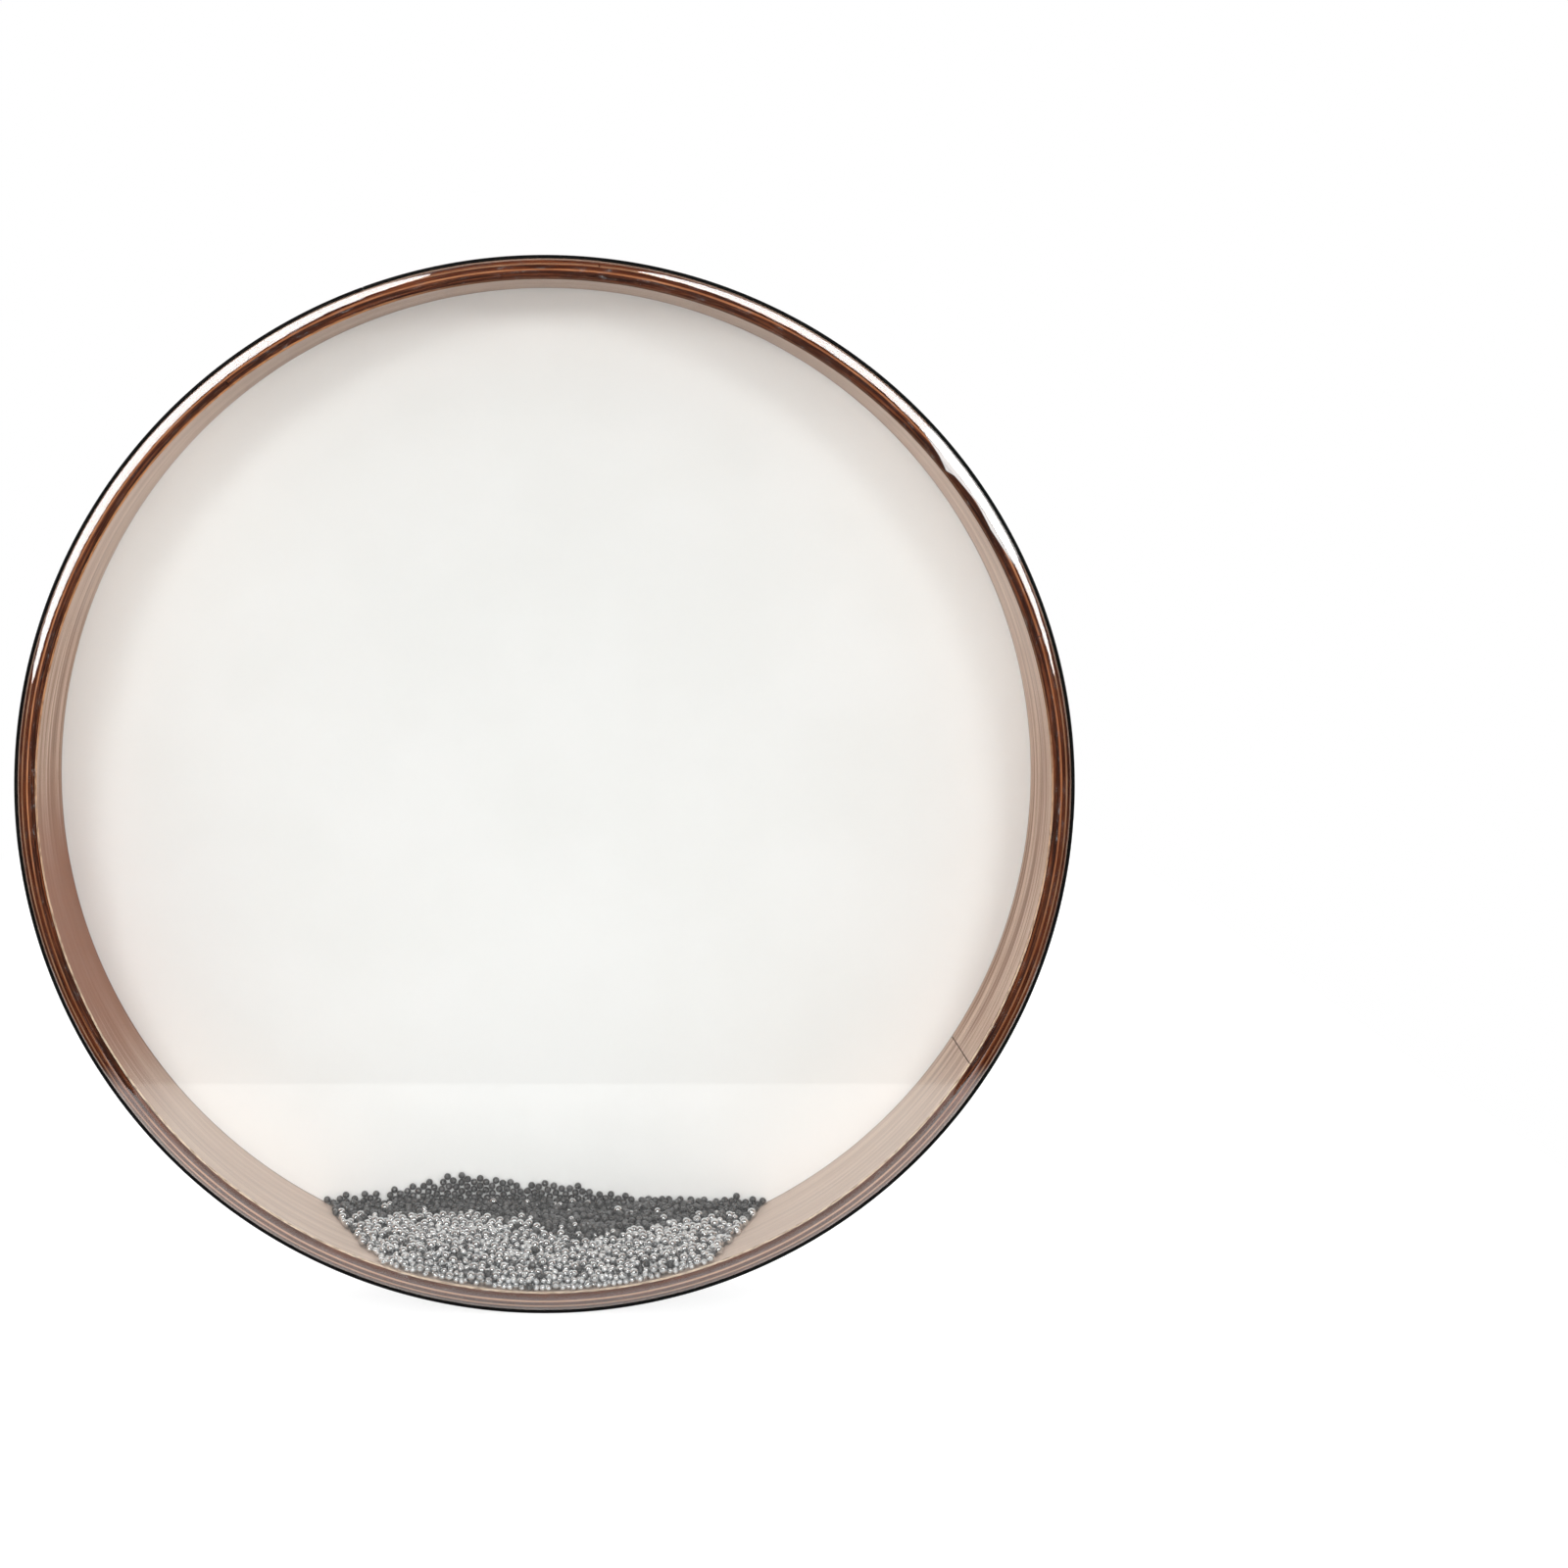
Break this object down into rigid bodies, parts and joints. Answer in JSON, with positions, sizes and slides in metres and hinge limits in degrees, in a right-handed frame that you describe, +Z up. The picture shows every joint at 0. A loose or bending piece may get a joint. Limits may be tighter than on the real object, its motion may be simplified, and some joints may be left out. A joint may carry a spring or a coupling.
{
  "type": "ocean drum",
  "caption": "Shallow round drum with a bent plywood hoop, a clear front head, a white rear head and loose steel beads that roll inside to sound like waves.",
  "frame": {"origin": "centre of the drum, on the hoop's axis, midway between the two heads", "axes": "+Y along the hoop's axis from the clear front head to the white rear head, +Z up with the drum standing on its rim, +X to the right as seen from the front"},
  "size_m": [0.406, 0.06, 0.406],
  "materials": {
    "washed_veneer": "satin",
    "dark_ply": "satin",
    "light_ply": "satin",
    "clear_film": "gloss",
    "white_film": "satin",
    "glue": "gloss",
    "tape": "matt",
    "black_strip": "satin",
    "dark_steel": "polished",
    "bright_steel": "polished"
  },
  "bodies": {
    "shell": {"inner_face_veneer": "washed_veneer", "inner_ply": "dark_ply", "inner_crossband": "light_ply", "middle_ply": "dark_ply", "outer_crossband": "light_ply", "outer_ply": "dark_ply", "outer_face_veneer": "washed_veneer", "front_glue_line": "glue", "rear_glue_line": "glue", "front_head": "clear_film", "rear_head": "white_film", "band_tape": "tape", "side_band": "black_strip"},
    "bead_charge": {"heap_core": "dark_steel", "dark_beads": "dark_steel", "silver_beads_large": "bright_steel", "silver_beads_small": "bright_steel"}
  },
  "joints": [
    {"name": "bead_roll", "type": "hinge", "parent": "shell", "child": "bead_charge", "pos_m": [0, 0, 0], "axis": [0, 1, 0], "continuous": true}
  ]
}
